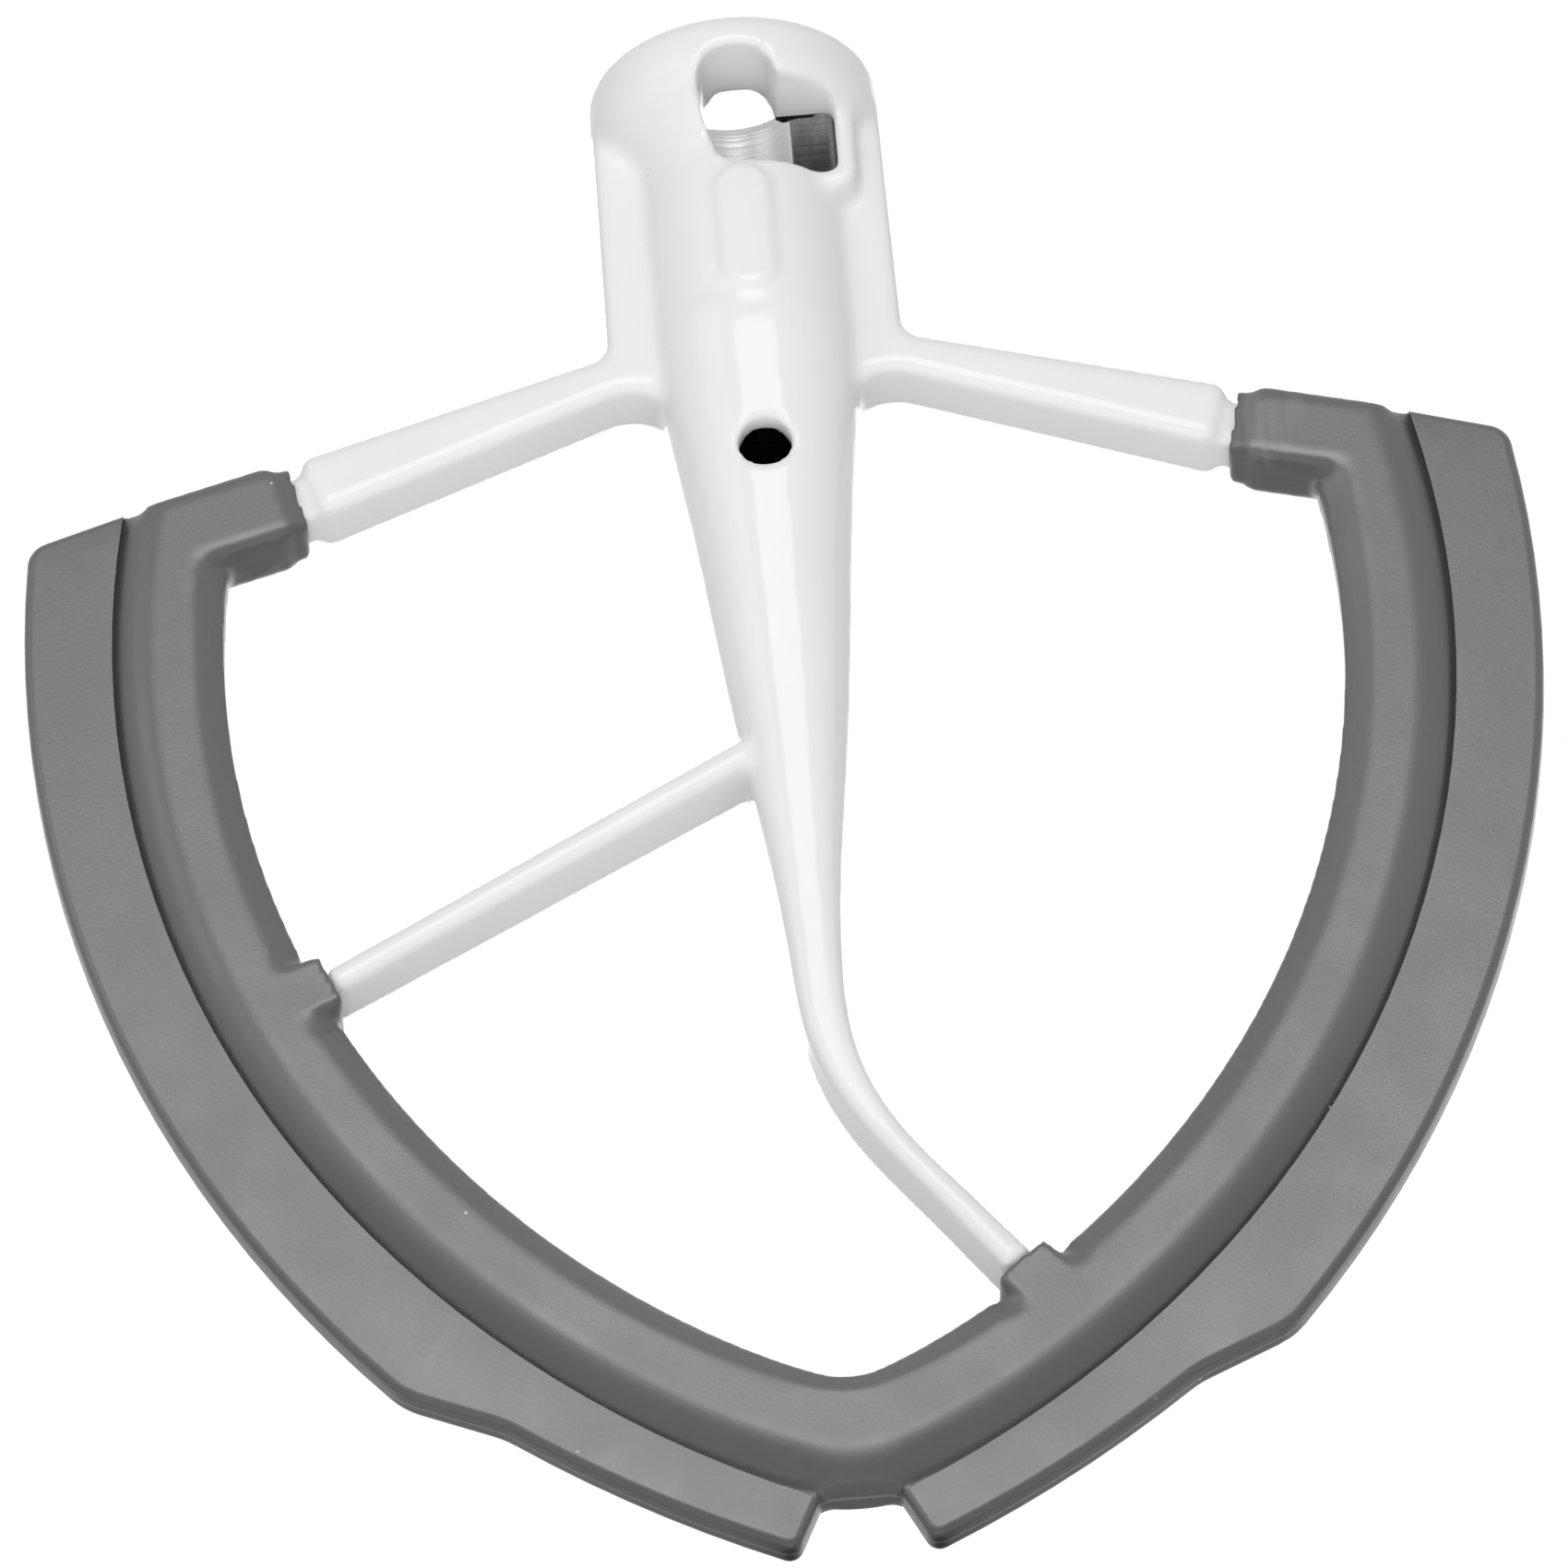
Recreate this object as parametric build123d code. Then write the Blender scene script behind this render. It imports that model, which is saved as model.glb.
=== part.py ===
from build123d import *
from math import cos, degrees, atan2, radians, sin, sqrt, tan
import os

# A stand mixer flat beater: one coated die-cast frame and one soft edge moulded on its rim.
# All sizes in mm. Origin at the centre of the bore mouth, +Z up the drive shaft, front is -Y.

# Hub: collar and tube
COLLAR_R = 14.4
COLLAR_TOP_ROUND = 2.6
COLLAR_SIDE_H = 6.6
COLLAR_UNDER_SLOPE = 45.0
COLLAR_LIP_ROUND = 4.0
COLLAR_SWEEP_R = 5.0
TUBE_R = 10.2
TUBE_END_Z = -31.5

# Side ribs of the hub, which run down into the arms
RIB_TOP_Z = -3.0
RIB_TOP_X = 14.1
RIB_FOOT_X = 14.55
RIB_HALF_DEPTH = 3.45
RIB_EDGE_ROUND = 1.2

# Shaft bore, blind, with the drain hole near its foot
BORE_R = 6.35
BORE_DEPTH = 51.0
BORE_MOUTH_CHAMFER = 0.5
DRAIN_R = 2.65
DRAIN_Z = -47.8

# Bayonet for the drive pin: keyway from the top, side window, arched seat
SEAT_LEFT_X = -2.9
SEAT_RIGHT_X = 3.6
SEAT_TOP_Z = -4.9
SEAT_TOP_ROUND = 2.45
WINDOW_LEFT_LOW_X = -1.5
WINDOW_LEFT_HIGH_Z = -9.2
WINDOW_RIGHT_X = 9.4
WINDOW_TOP_Z = -7.8
WINDOW_BOTTOM_Z = -14.7
WINDOW_LEFT_ROUND = 1.8
WINDOW_RIGHT_ROUND = 0.5
SEAT_DRAFT = 3.0
KEYWAY_FRONT_IN = 3.4
KEYWAY_FRONT_OUT = 5.4
KEYWAY_BACK = 3.5
KEYWAY_REACH = 9.9
BOSS_RIGHT_X = 11.5
BOSS_FRONT = 6.8
BOSS_BELOW = 2.3
BOSS_CORNER_ROUND = 2.2
BOSS_EDGE_ROUND = 0.8

# Raised pad on the tube front
PAD_W = 5.2
PAD_TOP_Z = -16.2
PAD_BOTTOM_Z = -30.4
PAD_RISE = 0.5

# Stem from the foot of the tube down into the bar that swings to the right:
# rows of centre x, height, lean from upright, half width, half depth and corner round
STEM_TOP_GAP = 0.1
STEM_ROWS = [
    (0.0, TUBE_END_Z, 0.0, TUBE_R - STEM_TOP_GAP, TUBE_R - STEM_TOP_GAP, 9.6),
    (0.1, -42.0, 0.0, 9.3, 9.3, 8.8),
    (0.25, -66.0, 0.0, 6.75, 7.0, 6.2),
    (0.35, -85.0, 0.0, 4.6, 5.35, 4.0),
    (0.4, -99.0, 1.0, 3.0, 4.2, 2.3),
    (0.5, -107.0, 4.0, 2.5, 3.85, 1.7),
    (1.05, -114.0, 13.0, 2.2, 3.7, 1.35),
    (2.95, -120.8, 26.0, 1.8, 3.6, 1.15),
    (5.9, -126.6, 33.0, 1.5, 3.5, 1.1),
    (9.65, -132.1, 35.5, 1.42, 3.45, 1.05),
    (13.5, -137.5, 35.5, 1.52, 3.45, 1.05),
]
BAR_END_X = 17.4
BAR_END_WIDER = 0.1

# Upper arms, thinner at the hub than at the outer end
ARM_CORE_X = 7.6
ARM_END_X = 45.0
ARM_TOP_Z0 = -28.3
ARM_TOP_SLOPE = 16.6
ARM_LOW_Z0 = -31.7
ARM_LOW_SLOPE = 21.3
ARM_END_LEAN = 13.0
ARM_END_ROUND = 1.3
ARM_TOP_ROOT_ROUND = 2.6
ARM_LOW_ROOT_ROUND = 5.0
ARM_CORE_END_Z = -48.0

# Strut from the stem to the left of the rim
STRUT_ROOT_X = -1.0
STRUT_ROOT_Z = -79.0
STRUT_SLOPE = 28.2
STRUT_H = 2.9
STRUT_HALF_DEPTH_ROOT = 3.8
STRUT_HALF_DEPTH_END = 3.2
STRUT_EDGE_ROUND = 1.1
STRUT_LENGTH = 52.0

# Necks: the thinner metal that carries on from each bar into the rim
NECK_INSET = 0.5
NECK_REACH = 7.5
NECK_ROUND = 0.5

# Soft edge: two limbs on circle arcs that meet in a pointed bottom
ARC_Z = -69.2
INNER_CX = 40.6
INNER_R = 95.6
GROOVE_CX = 44.0
GROOVE_R = INNER_R + 14.4
WIPER_CX = 52.0
WIPER_R = GROOVE_R + 16.5
LOW_CX = 51.5
LOW_R = WIPER_R + 8.9
LOW_ARC_Z = -51.5
BODY_HALF_T = 3.6
INNER_WALL_HALF_T = 1.7
INNER_SLOPE_W = 2.9
OUTER_SLOPE_W = 3.4
OUTER_FOOT_W = 0.5
OUTER_FOOT_T = 1.15
GROOVE_HALF_T = 1.0
GROOVE_LAP = 0.05
CORE_IN = 4.3
CORE_OUT = 1.0
CORE_TURN_UP = 14.0
CORE_TURN_DOWN = 60.0
OUTER_ROUND = 2.2
WIPER_HALF_T = 1.75
BODY_ROUND = 1.1
WIPER_ROUND = 0.9
CUT_SPAN = 4 * GROOVE_R
VEE_ROUND = 7.0

# Sleeves round the arm ends
SLEEVE_TOP_X = 48.7
SLEEVE_TOP_Z = -42.35
SLEEVE_SLOPE = 15.4
SLEEVE_H = 8.6
SLEEVE_LEAN = 12.0
SLEEVE_ROUND = 1.2
SLEEVE_CORNER_ROUND = 1.8
SLEEVE_OUT_X = 63.9
COLLAR_STEP = 0.6
COLLAR_LENGTH = 1.8

# Wiper outline
WIPER_TOP_X = 62.5
WIPER_TOP_RISE = 0.45
WIPER_CORNER_X = 73.0
WIPER_CORNER_Z = -48.75
WIPER_CORNER_ROUND = 2.8
STEP_HIGH_X = 43.6
STEP_LOW_X = 34.0
STEP_HIGH_ROUND = 8.0
STEP_LOW_ROUND = 10.0
NOTCH_HALF_W = 3.75
NOTCH_UP = 2.6
NOTCH_FLOOR_Z = ARC_Z - sqrt(GROOVE_R ** 2 - GROOVE_CX ** 2) + NOTCH_UP
NOTCH_SIDE_RUN = 2.9
NOTCH_LAP = 0.3
NOTCH_CORNER_ROUND = 1.4
NOTCH_WALL_TOP_Z = NOTCH_FLOOR_Z + 2.9
NOTCH_BACK_FLAT = 2.0

# Casting hidden in the soft edge
RIM_CX = 42.5
RIM_INNER_R = INNER_R + 4.2
RIM_OUTER_R = RIM_INNER_R + 4.5
RIM_HALF_T = 2.3
RIM_SLEEVE_INSET = 1.7

# Little collars where the strut and the stem enter the soft edge
STRUT_BOSS_W = 6.2
STEM_BOSS_W = 6.6
BOSS_OUT = 2.7
BOSS_HALF_T = 3.8
BOSS_ROUND = 0.8
BOSS_GAP = 0.35
STRUT_BOSS_TURN = 22.0
STEM_BOSS_TURN = 50.0


def front_prism(points, half_depth):
    # closed outline in front view, the same to the front and to the back
    wire = Polyline(*[(x, 0, z) for x, z in points], close=True)
    return extrude(make_face(wire), amount=half_depth, dir=(0, 1, 0), both=True)


def on_circle(cx, r, x, arc_z=ARC_Z):
    # height of a limb circle at x, lower side
    return arc_z - sqrt(r * r - (x + cx) ** 2)


def mirror_x(shape):
    return mirror(shape, about=Plane.YZ)


def corner_edge(shape, x, z):
    # the edge that runs front to back nearest to a corner of the front view
    return shape.edges().filter_by(Axis.Y).sort_by_distance((x, 0, z))[0]


def edges_at_front(shape, half_depth):
    # edges that lie in the front or the back face
    return [e for e in shape.edges()
            if abs(abs(e.position_at(0).Y) - half_depth) < 0.001
            and abs(abs(e.position_at(1).Y) - half_depth) < 0.001]


# Casting


def hub_body():
    r, side = COLLAR_R, COLLAR_SIDE_H
    sweep_z = -side - (r - TUBE_R) * tan(radians(COLLAR_UNDER_SLOPE))
    corners = [(0, 0), (r, 0), (r, -side), (TUBE_R, sweep_z), (TUBE_R, TUBE_END_Z), (0, TUBE_END_Z)]
    with BuildSketch(Plane.XZ) as profile:
        with BuildLine():
            Polyline(*corners, close=True)
        make_face()
        rounds = ((corners[1], COLLAR_TOP_ROUND), (corners[2], COLLAR_LIP_ROUND),
                  (corners[3], COLLAR_SWEEP_R))
        for (x, z), radius in rounds:
            fillet(profile.vertices().sort_by_distance((x, z, 0))[0], radius)
    return revolve(profile.sketch, axis=Axis.Z)


def arm_top(x):
    return ARM_TOP_Z0 - x * tan(radians(ARM_TOP_SLOPE))


def arm_low(x):
    return ARM_LOW_Z0 - x * tan(radians(ARM_LOW_SLOPE))


def shoulder():
    # one flat form on the right: side rib, arm, and the round roots between them and the stem
    lean = tan(radians(ARM_END_LEAN)) * (arm_top(ARM_END_X) - arm_low(ARM_END_X)) / 2
    rib_low = (RIB_FOOT_X, arm_top(RIB_FOOT_X))
    end_top = (ARM_END_X + lean, arm_top(ARM_END_X + lean))
    end_low = (ARM_END_X - lean, arm_low(ARM_END_X - lean))
    root = (ARM_CORE_X + 1.0, arm_low(ARM_CORE_X + 1.0))
    points = [(4.0, RIB_TOP_Z), (RIB_TOP_X, RIB_TOP_Z), rib_low, end_top, end_low, root,
              (ARM_CORE_X, ARM_CORE_END_Z), (4.0, ARM_CORE_END_Z)]
    plate = front_prism(points, RIB_HALF_DEPTH)
    for (x, z), radius in ((rib_low, ARM_TOP_ROOT_ROUND), (root, ARM_LOW_ROOT_ROUND),
                           (end_top, ARM_END_ROUND), (end_low, ARM_END_ROUND)):
        plate = fillet(corner_edge(plate, x, z), radius)
    outline = [e for e in edges_at_front(plate, RIB_HALF_DEPTH) if e.center().X > 6.0
               and e.center().Z < RIB_TOP_Z - 0.1 and e.center().Z > ARM_CORE_END_Z + 0.1]
    return fillet(outline, RIB_EDGE_ROUND)


def stem_section(x, z, lean, half_w, half_d, corner):
    turn = radians(lean)
    plane = Plane(origin=(x, 0, z), x_dir=(cos(turn), 0, sin(turn)), z_dir=(sin(turn), 0, -cos(turn)))
    return plane * RectangleRounded(2 * half_w, 2 * half_d, corner)


def stem():
    x0, z0, lean, half_w, half_d, corner = STEM_ROWS[-1]
    end_z = z0 - (BAR_END_X - x0) / tan(radians(lean))
    swing = loft([stem_section(*row) for row in STEM_ROWS])
    last = loft([stem_section(*STEM_ROWS[-1]),
                 stem_section(BAR_END_X, end_z, lean, half_w + BAR_END_WIDER, half_d, corner)], ruled=True)
    neck = extrude(stem_section(BAR_END_X, end_z, lean, half_w - NECK_INSET, RIM_HALF_T, NECK_ROUND),
                   amount=NECK_REACH)
    return swing + last + neck


def strut():
    slope = radians(STRUT_SLOPE)
    start = Plane(origin=(STRUT_ROOT_X, 0, STRUT_ROOT_Z), x_dir=(0, 1, 0),
                  z_dir=(-cos(slope), 0, -sin(slope)))
    end = start.offset(STRUT_LENGTH)
    bar = loft([start * RectangleRounded(2 * STRUT_HALF_DEPTH_ROOT, STRUT_H, STRUT_EDGE_ROUND),
                end * RectangleRounded(2 * STRUT_HALF_DEPTH_END, STRUT_H, STRUT_EDGE_ROUND)])
    neck = extrude(end * RectangleRounded(2 * RIM_HALF_T, STRUT_H - 2 * NECK_INSET, NECK_ROUND),
                   amount=NECK_REACH)
    return bar + neck


def limb(cx, section, turn_up, turn_down):
    # revolve a section round the circle centre of the right limb
    axis = Axis((-cx, 0, ARC_Z), (0, 1, 0))
    start = section.rotate(axis, -turn_up)
    return revolve(start, axis=axis, revolution_arc=turn_up + turn_down)


def section_face(cx, points, rounded, radius):
    # points are distance from the circle centre and distance to the front
    pts = [(r - cx, -f, ARC_Z) for r, f in points]
    pts += [(r - cx, f, ARC_Z) for r, f in reversed(points)]
    face = make_face(Polyline(*pts, close=True))
    picks = []
    for r, f in rounded:
        for sign in (1, -1):
            picks += face.vertices().sort_by_distance((r - cx, sign * f, ARC_Z))[:1]
    return fillet(picks, radius) if picks else face


def right_side(shape):
    return shape & Pos(CUT_SPAN / 2, 0, 0) * Box(CUT_SPAN, CUT_SPAN, 2 * CUT_SPAN)


def rim():
    ring = section_face(RIM_CX, [(RIM_INNER_R, RIM_HALF_T), (RIM_OUTER_R, RIM_HALF_T)], [], 0)
    ring = right_side(limb(RIM_CX, ring, 10.5, 80))
    return ring + mirror_x(ring)


def sleeve_line(x, drop):
    # height of the sleeve's top line, or of a line parallel to it
    slope = radians(SLEEVE_SLOPE)
    return SLEEVE_TOP_Z - (x - SLEEVE_TOP_X) * tan(slope) - drop / cos(slope)


def sleeve_bar(x_top, inset, x_out, half_depth):
    # bar along the sleeve with an inner end that leans
    slope, lean = tan(radians(SLEEVE_SLOPE)), tan(radians(SLEEVE_LEAN))
    top = (x_top, sleeve_line(x_top, inset))
    fall = (SLEEVE_H - 2 * inset) / cos(radians(SLEEVE_SLOPE)) / (1 + slope * lean)
    low = (x_top - fall * lean, top[1] - fall)
    out = sleeve_line(x_out, inset)
    low_x = x_out - 4
    pts = [top, (x_out, out), (x_out, out - 4), (low_x, sleeve_line(low_x, SLEEVE_H - inset)), low]
    return front_prism(pts, half_depth)


def bayonet_outline():
    # front view of the seat and the side window as one opening
    left, right, top = SEAT_LEFT_X, SEAT_RIGHT_X, SEAT_TOP_Z
    pts = [(left, top), (right, top), (right, WINDOW_TOP_Z), (WINDOW_RIGHT_X, WINDOW_TOP_Z),
           (WINDOW_RIGHT_X, WINDOW_BOTTOM_Z), (WINDOW_LEFT_LOW_X, WINDOW_BOTTOM_Z),
           (left, WINDOW_LEFT_HIGH_Z)]
    face = make_face(Polyline(*[(x, 0, z) for x, z in pts], close=True))
    rounds = ((0, SEAT_TOP_ROUND), (1, SEAT_TOP_ROUND), (3, WINDOW_RIGHT_ROUND),
              (4, WINDOW_RIGHT_ROUND), (5, WINDOW_LEFT_ROUND))
    for k, radius in rounds:
        x, z = pts[k]
        face = fillet(face.vertices().sort_by_distance((x, 0, z))[0], radius)
    return face


def keyway():
    pts = [(0, -KEYWAY_FRONT_IN), (KEYWAY_REACH, -KEYWAY_FRONT_OUT),
           (KEYWAY_REACH, KEYWAY_BACK), (0, KEYWAY_BACK)]
    face = make_face(Polyline(*pts, close=True))
    return extrude(face, amount=WINDOW_BOTTOM_Z, dir=(0, 0, 1))


def bore_and_bayonet():
    # everything cut from the hub
    cut = Pos(0, 0, -BORE_DEPTH / 2) * Cylinder(BORE_R, BORE_DEPTH)
    mouth = BORE_R + BORE_MOUTH_CHAMFER
    cut += Pos(0, 0, -BORE_MOUTH_CHAMFER / 2) * Cone(BORE_R, mouth, BORE_MOUTH_CHAMFER)
    cut += Pos(0, -10, DRAIN_Z) * Rot(90, 0, 0) * Cylinder(DRAIN_R, 20)
    cut += keyway()
    return cut + extrude(bayonet_outline(), amount=COLLAR_R + 2, dir=(0, -1, 0), taper=-SEAT_DRAFT)


def keyway_boss():
    # thicker wall round the keyway beside the window
    z0 = WINDOW_BOTTOM_Z - BOSS_BELOW
    box = Pos(BOSS_RIGHT_X / 2, -BOSS_FRONT / 2, z0 / 2 - 1.0) * Box(BOSS_RIGHT_X, BOSS_FRONT, -z0 - 2.0)
    box = fillet(corner_edge(box, BOSS_RIGHT_X, z0), BOSS_CORNER_ROUND)
    face = box.faces().sort_by(Axis.Y)[0]
    edges = [e for e in face.edges() if e.center().X > 1 and e.center().Z < -3]
    return fillet(edges, BOSS_EDGE_ROUND)


def pad():
    h = PAD_TOP_Z - PAD_BOTTOM_Z
    plate = Pos(0, 0, (PAD_TOP_Z + PAD_BOTTOM_Z) / 2) * Rot(90, 0, 0) * extrude(
        SlotOverall(h, PAD_W, rotation=90), amount=TUBE_R + PAD_RISE + 2)
    return plate & Pos(0, 0, -25) * Cylinder(TUBE_R + PAD_RISE, 60)


def casting():
    right = shoulder() + sleeve_bar(ARM_END_X - 2.5, RIM_SLEEVE_INSET, RIM_OUTER_R - RIM_CX - 0.5, RIM_HALF_T)
    body = hub_body() + stem() + right + mirror_x(right)
    body = body + keyway_boss() + pad()
    body = body + strut() + rim()
    return body - bore_and_bayonet()


# Soft edge


def half_space(above, points):
    # big slab on one side of a line in front view
    (x0, z0), (x1, z1) = points
    turn = degrees(atan2(z1 - z0, x1 - x0))
    slab = Pos(x0, 0, z0) * Rot(0, -turn, 0) * Pos(0, 0, CUT_SPAN / 2 if above else -CUT_SPAN / 2)
    return slab * Box(2 * CUT_SPAN, CUT_SPAN, CUT_SPAN)


def outer_form(inner_r, turn_up):
    # flat body up to the groove, with the slope that leads down into it
    flat_end = GROOVE_R - OUTER_SLOPE_W
    pts = [(inner_r, BODY_HALF_T), (flat_end, BODY_HALF_T),
           (GROOVE_R - OUTER_FOOT_W, OUTER_FOOT_T), (GROOVE_R, GROOVE_HALF_T)]
    return limb(GROOVE_CX, section_face(GROOVE_CX, pts, [pts[1]], OUTER_ROUND), turn_up, 80)


def edge_form():
    # the limb below the sleeve, right half
    w, f = INNER_SLOPE_W, BODY_HALF_T
    inner = [(INNER_R, INNER_WALL_HALF_T), (INNER_R + w, f), (INNER_R + w + 4, f)]
    inner_limb = limb(INNER_CX, section_face(INNER_CX, inner, [inner[1]], BODY_ROUND), 12, 80)
    body = inner_limb + outer_form(GROOVE_R - OUTER_SLOPE_W - 4, 12)
    mid = (SLEEVE_TOP_X, sleeve_line(SLEEVE_TOP_X, SLEEVE_H / 2))
    out = (SLEEVE_TOP_X + 10, sleeve_line(SLEEVE_TOP_X + 10, SLEEVE_H / 2))
    return right_side(body - half_space(True, [mid, out]))


def sleeve():
    bar = sleeve_bar(SLEEVE_TOP_X, 0, SLEEVE_OUT_X, BODY_HALF_T)
    bar = fillet(corner_edge(bar, SLEEVE_OUT_X, sleeve_line(SLEEVE_OUT_X, 0)), SLEEVE_CORNER_ROUND)
    ends = [e for e in edges_at_front(bar, BODY_HALF_T)
            if not (e.center().X < SLEEVE_TOP_X and abs(e.tangent_at(0.5).Z) > 0.9)]
    bar = fillet(ends, SLEEVE_ROUND)
    bar = bar & outer_form(GROOVE_R - 25, 20)
    step = sleeve_bar(SLEEVE_TOP_X - COLLAR_LENGTH, COLLAR_STEP, SLEEVE_OUT_X - 6, BODY_HALF_T - COLLAR_STEP)
    ends = [e for e in edges_at_front(step, BODY_HALF_T - COLLAR_STEP) if e.length > 9]
    step = fillet(ends, SLEEVE_ROUND - 0.2)
    return bar + step


def wiper():
    inner_r = GROOVE_R - GROOVE_LAP
    top_z = sleeve_line(WIPER_TOP_X, -WIPER_TOP_RISE)
    top_in = (sqrt(inner_r ** 2 - (top_z - ARC_Z) ** 2) - GROOVE_CX, top_z)
    corner = (WIPER_CORNER_X, WIPER_CORNER_Z)
    high = (STEP_HIGH_X, on_circle(WIPER_CX, WIPER_R, STEP_HIGH_X))
    low = (STEP_LOW_X, on_circle(LOW_CX, LOW_R, STEP_LOW_X, LOW_ARC_Z))
    end_x = NOTCH_HALF_W + NOTCH_SIDE_RUN
    end = (end_x, on_circle(LOW_CX, LOW_R, end_x, LOW_ARC_Z))
    inner_x = NOTCH_HALF_W + NOTCH_LAP
    inner = (inner_x, on_circle(GROOVE_CX, inner_r, inner_x))

    def p(q):
        return (q[0], 0, q[1])

    wire = Wire([
        Line(p(top_in), p(corner)).edge(),
        ThreePointArc(p(corner), (WIPER_R - WIPER_CX, 0, ARC_Z), p(high)).edge(),
        Line(p(high), p(low)).edge(),
        ThreePointArc(p(low), (20.0, 0, on_circle(LOW_CX, LOW_R, 20.0, LOW_ARC_Z)), p(end)).edge(),
        Line(p(end), p(inner)).edge(),
        ThreePointArc(p(inner), (40.0, 0, on_circle(GROOVE_CX, inner_r, 40.0)), p(top_in)).edge(),
    ])
    plate = extrude(Face(wire), amount=WIPER_HALF_T, dir=(0, 1, 0), both=True)
    for (x, z), radius in ((corner, WIPER_CORNER_ROUND), (high, STEP_HIGH_ROUND),
                           (low, STEP_LOW_ROUND), (end, NOTCH_CORNER_ROUND)):
        plate = fillet(corner_edge(plate, x, z), radius)
    outer = []
    for e in edges_at_front(plate, WIPER_HALF_T):
        c = e.position_at(0.5)
        r = sqrt((c.X + GROOVE_CX) ** 2 + (c.Z - ARC_Z) ** 2)
        if r > GROOVE_R + 0.3 and e.length > 0.5:
            outer.append(e)
    return fillet(outer, WIPER_ROUND)


def groove_core():
    # thinner plate that carries the wiper on under the body, at the foot of the groove
    pts = [(GROOVE_R - CORE_IN, GROOVE_HALF_T), (GROOVE_R + CORE_OUT, GROOVE_HALF_T)]
    ring = limb(GROOVE_CX, section_face(GROOVE_CX, pts, [], 0), CORE_TURN_UP, CORE_TURN_DOWN)
    line = [(x, sleeve_line(x, -WIPER_TOP_RISE)) for x in (WIPER_TOP_X, WIPER_CORNER_X)]
    return ring - half_space(True, line)


def vee_round():
    # fills the sharp bottom of the opening with a round one
    reach = INNER_R - VEE_ROUND
    z = ARC_Z - sqrt(reach ** 2 - INNER_CX ** 2)
    half_turn = degrees(atan2(INNER_CX, ARC_Z - z))
    w, f = INNER_SLOPE_W, BODY_HALF_T
    pts = [(VEE_ROUND, INNER_WALL_HALF_T), (VEE_ROUND + w, f), (VEE_ROUND + w + 3, f)]
    face = section_face(0, pts, [pts[1]], BODY_ROUND)
    axis = Axis((0, 0, ARC_Z), (0, 1, 0))
    face = face.rotate(axis, 90 - half_turn)
    return revolve(face, axis=axis, revolution_arc=2 * half_turn).moved(Location((0, 0, z - ARC_Z)))


def notch_wall():
    # slanted wall that cuts the point off the body above the notch
    slope = (NOTCH_WALL_TOP_Z - NOTCH_FLOOR_Z) / BODY_HALF_T
    front, back = -BODY_HALF_T - 0.4, BODY_HALF_T + 0.4
    deep = NOTCH_FLOOR_Z - WIPER_R + GROOVE_R
    pts = [(0, 0, NOTCH_FLOOR_Z), (0, front, NOTCH_FLOOR_Z - slope * front), (0, front, deep),
           (0, back, deep), (0, back, NOTCH_FLOOR_Z + slope * (back - NOTCH_BACK_FLAT)),
           (0, NOTCH_BACK_FLAT, NOTCH_FLOOR_Z)]
    return extrude(make_face(Polyline(*pts, close=True)), amount=20, dir=(1, 0, 0), both=True)


def entry_boss(x, z, turn, width):
    # block on the inner edge, square to a bar that enters there; x and z are its outer end
    length = BOSS_OUT + 5.0
    block = Box(length, 2 * BOSS_HALF_T, width)
    block = fillet(block.edges().filter_by(Axis.X), BOSS_ROUND)
    return Pos(x, 0, z) * Rot(0, turn, 0) * Pos(length / 2, 0, 0) * block


def entry_bosses():
    slope = radians(STRUT_SLOPE)
    reach = STRUT_LENGTH + BOSS_GAP
    x = STRUT_ROOT_X - reach * cos(slope)
    z = STRUT_ROOT_Z - reach * sin(slope)
    left = entry_boss(x, z, 180 - STRUT_BOSS_TURN, STRUT_BOSS_W)
    x0, z0, lean = STEM_ROWS[-1][:3]
    x = BAR_END_X + BOSS_GAP * sin(radians(lean))
    z = z0 - (x - x0) / tan(radians(lean))
    right = entry_boss(x, z, STEM_BOSS_TURN, STEM_BOSS_W)
    return left + right


def soft_edge(cast):
    right = edge_form() + sleeve()
    body = right + mirror_x(right) + vee_round()
    body = body - notch_wall()
    body = body + entry_bosses()
    w = wiper() + groove_core()
    body = body + w + mirror_x(w)
    return body - cast


os.makedirs("parts", exist_ok=True)
cast_frame = casting()
edge = soft_edge(cast_frame)
export_step(cast_frame, "parts/cast_frame.step")
export_step(edge, "parts/soft_edge.step")
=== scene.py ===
import math

import bmesh
import bpy
import numpy as np
from mathutils import Matrix, Vector


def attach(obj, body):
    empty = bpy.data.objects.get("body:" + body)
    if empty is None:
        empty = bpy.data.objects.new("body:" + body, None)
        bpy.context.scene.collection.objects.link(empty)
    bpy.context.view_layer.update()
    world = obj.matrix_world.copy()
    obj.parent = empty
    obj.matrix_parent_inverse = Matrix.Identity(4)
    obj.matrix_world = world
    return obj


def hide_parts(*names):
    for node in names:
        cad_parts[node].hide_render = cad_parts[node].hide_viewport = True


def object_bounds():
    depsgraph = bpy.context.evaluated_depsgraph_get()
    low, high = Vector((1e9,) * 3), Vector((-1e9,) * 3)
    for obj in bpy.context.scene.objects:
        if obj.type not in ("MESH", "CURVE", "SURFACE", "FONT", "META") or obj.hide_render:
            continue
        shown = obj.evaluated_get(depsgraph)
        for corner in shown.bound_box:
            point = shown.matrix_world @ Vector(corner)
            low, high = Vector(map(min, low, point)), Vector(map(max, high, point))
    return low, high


# Looks of the flat beater: a coated casting with a bare machined bore, and its grey soft edge.
# Metres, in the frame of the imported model: +Z up the bore, -Y the front.

MM = 0.001

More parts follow.
